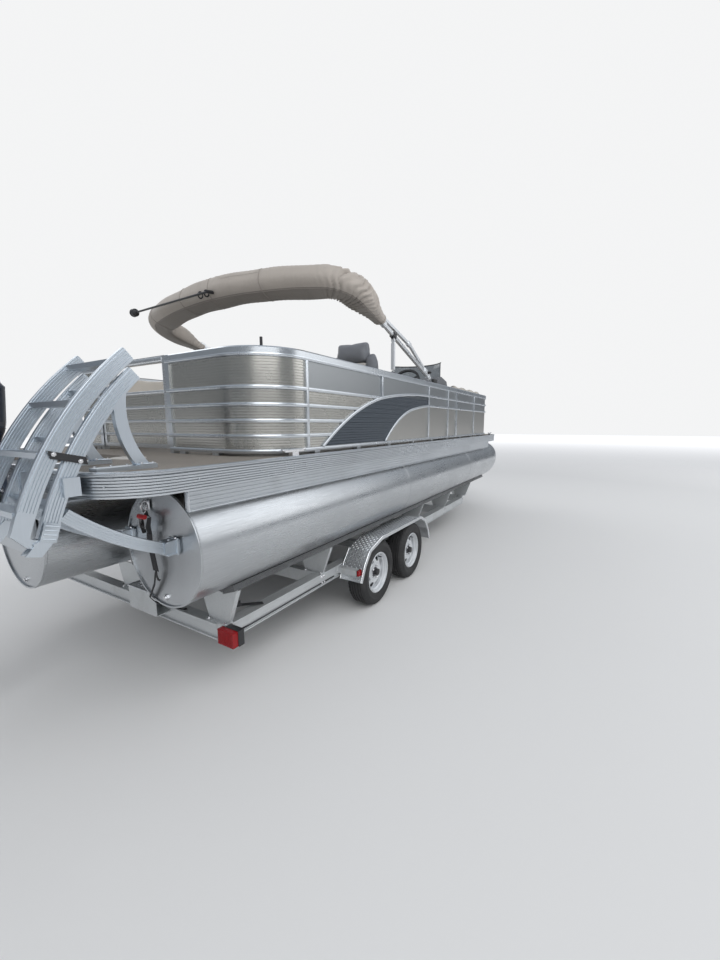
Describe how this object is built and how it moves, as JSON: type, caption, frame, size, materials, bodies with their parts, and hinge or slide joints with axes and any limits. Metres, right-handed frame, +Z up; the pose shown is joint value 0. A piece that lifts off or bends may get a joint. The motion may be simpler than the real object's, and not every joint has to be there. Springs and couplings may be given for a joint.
{
  "type": "pontoon boat",
  "caption": "Tritoon pleasure boat on a tandem-axle bunk trailer: fenced cockpit, lounges, helm, folded sun top, boarding ladder and outboard motor.",
  "frame": {"origin": "on the ground under the middle of the whole, halfway between the outboard's cowl and the coupler's head, on the centre line", "axes": "+X forward to the bow and coupler, +Y to port, +Z up"},
  "size_m": [9.487, 2.65, 2.866],
  "materials": {
    "mill_aluminium": "streaky mill finish",
    "brushed_trim": "satin",
    "trailer_aluminium": "dull mill finish",
    "panel_champagne": "satin ribbed",
    "accent_charcoal": "satin",
    "deck_vinyl": "woven matt",
    "seat_vinyl": "grained matt",
    "chair_vinyl": "grained matt",
    "moulding_grey": "matt",
    "black_plastic": "matt",
    "smoked_screen": "smoked",
    "canvas_taupe": "woven matt",
    "carpet_grey": "looped",
    "zinc_steel": "galvanised",
    "tyre_rubber": "matt",
    "wheel_silver": "gloss silver",
    "lamp_red": "gloss",
    "motor_navy": "gloss",
    "prop_steel": "polished",
    "stainless": "polished"
  },
  "bodies": {
    "boat_on_trailer": {"trailer_frame": "trailer_aluminium", "bunk_brackets": "trailer_aluminium", "coupler": "zinc_steel", "winch_stand": "zinc_steel", "axles": "zinc_steel", "fenders": "brushed_trim", "deck_skirt": "brushed_trim", "fence_frame_right": "brushed_trim", "fence_frame_left": "brushed_trim", "ladder_fixed": "brushed_trim", "chair_pedestals": "brushed_trim", "trailer_lamps": "lamp_red", "bunk_boards": "carpet_grey", "pontoon_right": "mill_aluminium", "pontoon_left": "mill_aluminium", "pontoon_centre": "mill_aluminium", "deck_risers": "mill_aluminium", "side_aprons": "mill_aluminium", "deck_bearers": "mill_aluminium", "transom": "mill_aluminium", "deck": "deck_vinyl", "fence_panel_right": "panel_champagne", "fence_panel_left": "panel_champagne", "accent_panels": "accent_charcoal", "gate_hinges": "stainless", "top_mounts": "stainless", "cleats": "stainless", "stern_light": "stainless", "ladder_latch": "black_plastic", "lounge_cushions": "seat_vinyl", "lounge_backs": "seat_vinyl", "lounge_bases": "moulding_grey", "console": "moulding_grey", "windscreen": "smoked_screen", "motor_clamp": "motor_navy"},
    "tongue_jack": {"tongue_jack": "zinc_steel"},
    "gate_stern": {"gate_stern": "brushed_trim"},
    "gate_bow": {"gate_bow": "brushed_trim"},
    "gate_side": {"gate_side": "brushed_trim"},
    "top": {"top_frame": "brushed_trim", "top_boot": "canvas_taupe", "top_light": "black_plastic"},
    "top_strut_right": {"top_strut_right": "brushed_trim"},
    "top_strut_left": {"top_strut_left": "brushed_trim"},
    "ladder_flip": {"ladder_flip": "brushed_trim"},
    "chair_helm": {"chair_helm": "chair_vinyl"},
    "chair_guest": {"chair_guest": "chair_vinyl"},
    "motor_swivel": {"motor_swivel": "motor_navy"},
    "motor_head": {"motor_leg": "motor_navy", "motor_cowl": "motor_navy"},
    "propeller": {"propeller": "prop_steel"},
    "steering_wheel": {"steering_wheel": "black_plastic"},
    "wheel_rear_right": {"tyre_rear_right": "tyre_rubber", "rim_rear_right": "wheel_silver"},
    "wheel_rear_left": {"tyre_rear_left": "tyre_rubber", "rim_rear_left": "wheel_silver"},
    "wheel_front_right": {"tyre_front_right": "tyre_rubber", "rim_front_right": "wheel_silver"},
    "wheel_front_left": {"tyre_front_left": "tyre_rubber", "rim_front_left": "wheel_silver"}
  },
  "joints": [
    {"name": "wheel_rear_right_roll", "type": "hinge", "parent": "boat_on_trailer", "child": "wheel_rear_right", "pos_m": [-2.0085, -1.18, 0.298], "axis": [0, 1, 0], "continuous": true},
    {"name": "wheel_rear_left_roll", "type": "hinge", "parent": "boat_on_trailer", "child": "wheel_rear_left", "pos_m": [-2.0085, 1.18, 0.298], "axis": [0, 1, 0], "continuous": true},
    {"name": "wheel_front_right_roll", "type": "hinge", "parent": "boat_on_trailer", "child": "wheel_front_right", "pos_m": [-1.2625, -1.18, 0.298], "axis": [0, 1, 0], "continuous": true},
    {"name": "wheel_front_left_roll", "type": "hinge", "parent": "boat_on_trailer", "child": "wheel_front_left", "pos_m": [-1.2625, 1.18, 0.298], "axis": [0, 1, 0], "continuous": true},
    {"name": "jack_swing", "type": "hinge", "parent": "boat_on_trailer", "child": "tongue_jack", "pos_m": [4.0415, 0.0785, 0.395], "axis": [0, 1, 0], "range_deg": [0, 90]},
    {"name": "gate_stern_swing", "type": "hinge", "parent": "boat_on_trailer", "child": "gate_stern", "pos_m": [-3.2965, 0.596, 1.8], "axis": [0, 0, 1], "range_deg": [0, 90]},
    {"name": "gate_bow_swing", "type": "hinge", "parent": "boat_on_trailer", "child": "gate_bow", "pos_m": [2.3995, -0.366, 1.8], "axis": [0, 0, 1], "range_deg": [0, 90]},
    {"name": "gate_side_swing", "type": "hinge", "parent": "boat_on_trailer", "child": "gate_side", "pos_m": [0.1475, 1.168, 1.8], "axis": [0, 0, 1], "range_deg": [0, 90]},
    {"name": "top_lift", "type": "hinge", "parent": "boat_on_trailer", "child": "top", "pos_m": [-0.7085, 0, 2.16], "axis": [0, 1, 0], "range_deg": [0, 55]},
    {"name": "top_strut_right_swing", "type": "hinge", "parent": "top", "child": "top_strut_right", "pos_m": [-1.6383, -1.2, 2.41474], "axis": [0, -1, 0], "range_deg": [0, 70]},
    {"name": "top_strut_left_swing", "type": "hinge", "parent": "top", "child": "top_strut_left", "pos_m": [-1.6383, 1.2, 2.41474], "axis": [0, -1, 0], "range_deg": [0, 70]},
    {"name": "ladder_fold", "type": "hinge", "parent": "boat_on_trailer", "child": "ladder_flip", "pos_m": [-4.4525, -0.88, 1.196], "axis": [0, -1, 0], "range_deg": [0, 170]},
    {"name": "chair_helm_turn", "type": "hinge", "parent": "boat_on_trailer", "child": "chair_helm", "pos_m": [-1.3385, -0.75, 1.7], "axis": [0, 0, 1], "continuous": true},
    {"name": "chair_guest_turn", "type": "hinge", "parent": "boat_on_trailer", "child": "chair_guest", "pos_m": [-1.3385, 0.75, 1.7], "axis": [0, 0, 1], "continuous": true},
    {"name": "motor_tilt", "type": "hinge", "parent": "boat_on_trailer", "child": "motor_swivel", "pos_m": [-4.2285, 0, 1.372], "axis": [0, 1, 0], "range_deg": [-4, 66]},
    {"name": "motor_steer", "type": "hinge", "parent": "motor_swivel", "child": "motor_head", "pos_m": [-4.3335, 0, 1.24], "axis": [0, 0, 1], "range_deg": [-30, 30]},
    {"name": "propeller_spin", "type": "hinge", "parent": "motor_head", "child": "propeller", "pos_m": [-4.6805, 0, 0.51], "axis": [1, 0, 0], "continuous": true},
    {"name": "steering_wheel_turn", "type": "hinge", "parent": "boat_on_trailer", "child": "steering_wheel", "pos_m": [-0.4885, -0.8, 2.15], "axis": [0.867, 0, -0.4983], "range_deg": [-540, 540]}
  ],
  "couplings": [
    {"joint": "steering_wheel_turn", "follows": "motor_steer", "ratio": 17.5}
  ]
}
